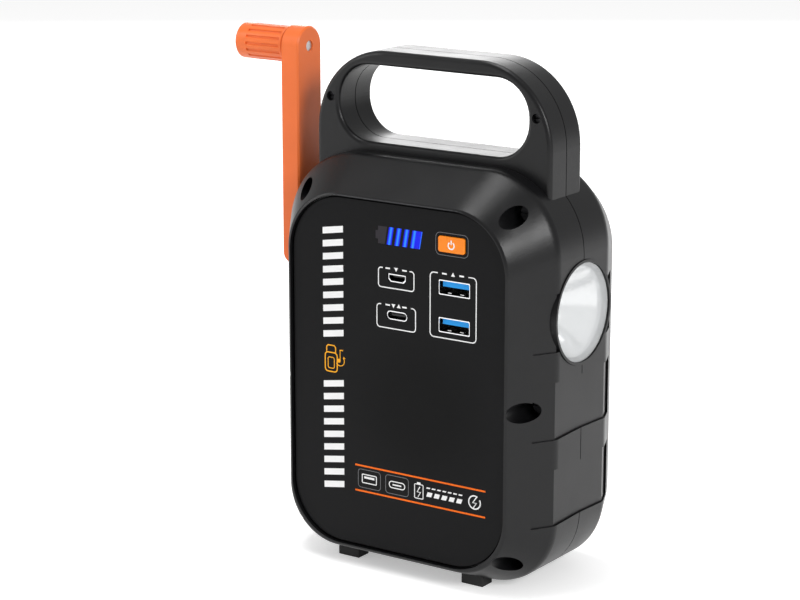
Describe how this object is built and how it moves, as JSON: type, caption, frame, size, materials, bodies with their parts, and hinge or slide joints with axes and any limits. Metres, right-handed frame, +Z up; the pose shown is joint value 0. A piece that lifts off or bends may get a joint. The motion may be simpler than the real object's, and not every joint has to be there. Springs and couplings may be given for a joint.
{
  "type": "hand crank phone charger",
  "caption": "Upright hand crank power bank with a carrying handle, fold-out crank, side torch, rear lantern and charging sockets on the front.",
  "frame": {"origin": "middle of the case's flat underside, on the plane where the front and rear shells meet", "axes": "+Z up, -Y towards the front with the sockets, +X towards the torch, crank on the -X side"},
  "size_m": [0.1499, 0.0641, 0.1936],
  "materials": {
    "black_case": "satin black ABS with a fine moulded texture",
    "black_label": "smooth black label plate",
    "orange_plastic": "orange ABS, satin",
    "orange_gloss": "orange button cap",
    "white_plastic": "white moulded plastic",
    "milky_diffuser": "milky translucent diffuser",
    "clear_lens": "clear lens",
    "torch_mirror": "vacuum-metallised reflector",
    "blue_light": "lit blue light bars",
    "grey_plastic": "dark grey translucent plastic",
    "blue_plastic": "blue socket tongue",
    "dark_plastic": "black nylon",
    "socket_metal": "nickel-plated steel",
    "steel": "zinc-plated steel",
    "black_steel": "black oxide screw",
    "brass": "turned brass",
    "gear_nylon": "natural acetal",
    "circuit_board": "green solder mask",
    "rubber": "soft black rubber",
    "led_yellow": "LED phosphor",
    "cell_wrap": "shrink-wrapped cell"
  },
  "bodies": {
    "case": {"front_shell": "black_case", "rear_shell": "black_case", "label_panel": "black_label", "power_switch": "dark_plastic", "charge_level_bars": "blue_light", "charge_level_tip": "grey_plastic", "gauge_light_guide": "dark_plastic", "gauge_leds": "led_yellow", "main_circuit_board": "circuit_board", "board_components": "dark_plastic", "board_screws": "steel", "torch_ring": "dark_plastic", "torch_lens": "clear_lens", "torch_reflector": "torch_mirror", "torch_led_board": "circuit_board", "torch_led": "led_yellow", "lantern_bezel": "orange_plastic", "lantern_diffuser": "milky_diffuser", "lantern_reflector_tray": "white_plastic", "lantern_light_board": "white_plastic", "lantern_leds": "led_yellow", "indicator_lens": "milky_diffuser", "indicator_led": "led_yellow", "rear_button_board": "circuit_board", "rear_button_screws": "steel", "rear_button_switches": "dark_plastic", "knob_pocket": "orange_plastic", "shaft_bush": "brass", "idler_axle": "steel", "generator_can": "steel", "gearbox_outer_plate": "steel", "gearbox_inner_plate": "steel", "gearbox_spacers": "brass", "gearbox_screws": "steel", "battery_cells": "cell_wrap", "battery_holder": "dark_plastic", "case_screws": "black_steel", "handle_screws": "black_steel", "rubber_feet": "rubber", "usb_a_port_upper": "socket_metal", "usb_a_port_lower": "socket_metal", "micro_usb_port": "socket_metal", "usb_c_port": "socket_metal", "usb_a_tongues": "blue_plastic", "small_port_tongues": "dark_plastic"},
    "power_key": {"power_button": "orange_gloss"},
    "lamp_key": {"lamp_button": "orange_plastic"},
    "torch_key": {"torch_button": "orange_plastic"},
    "crank": {"crank_hub": "orange_plastic", "crank_pin": "steel", "crank_shaft": "steel", "shaft_clip": "steel", "crank_gear": "gear_nylon"},
    "arm": {"crank_arm": "orange_plastic", "knob_axle": "steel"},
    "knob": {"crank_knob": "orange_plastic", "knob_cap": "orange_plastic"},
    "idler": {"idler_gear": "gear_nylon"},
    "generator": {"generator_rotor": "black_steel", "generator_pinion": "brass"}
  },
  "joints": [
    {"name": "crank_turn", "type": "hinge", "parent": "case", "child": "crank", "pos_m": [-0.058, 0, 0.11], "axis": [1, 0, 0], "continuous": true},
    {"name": "arm_fold", "type": "hinge", "parent": "crank", "child": "arm", "pos_m": [-0.0653, 0, 0.107], "axis": [0, -1, 0], "range_deg": [0, 180]},
    {"name": "knob_spin", "type": "hinge", "parent": "arm", "child": "knob", "pos_m": [-0.08, 0, 0.185], "axis": [1, 0, 0], "continuous": true},
    {"name": "idler_spin", "type": "hinge", "parent": "case", "child": "idler", "pos_m": [-0.045, 0, 0.0918], "axis": [1, 0, 0], "continuous": true},
    {"name": "generator_spin", "type": "hinge", "parent": "case", "child": "generator", "pos_m": [-0.04, 0, 0.075], "axis": [1, 0, 0], "continuous": true},
    {"name": "power_press", "type": "slide", "parent": "case", "child": "power_key", "axis": [0, 1, 0], "range_m": [0, 0.0006], "stiffness_N_per_m": 600},
    {"name": "lamp_press", "type": "slide", "parent": "case", "child": "lamp_key", "axis": [0, -1, 0], "range_m": [0, 0.0006], "stiffness_N_per_m": 600},
    {"name": "torch_press", "type": "slide", "parent": "case", "child": "torch_key", "axis": [0, -1, 0], "range_m": [0, 0.0006], "stiffness_N_per_m": 600}
  ],
  "couplings": [
    {"joint": "idler_spin", "follows": "crank_turn", "ratio": -3.3333},
    {"joint": "generator_spin", "follows": "crank_turn", "ratio": 10}
  ]
}
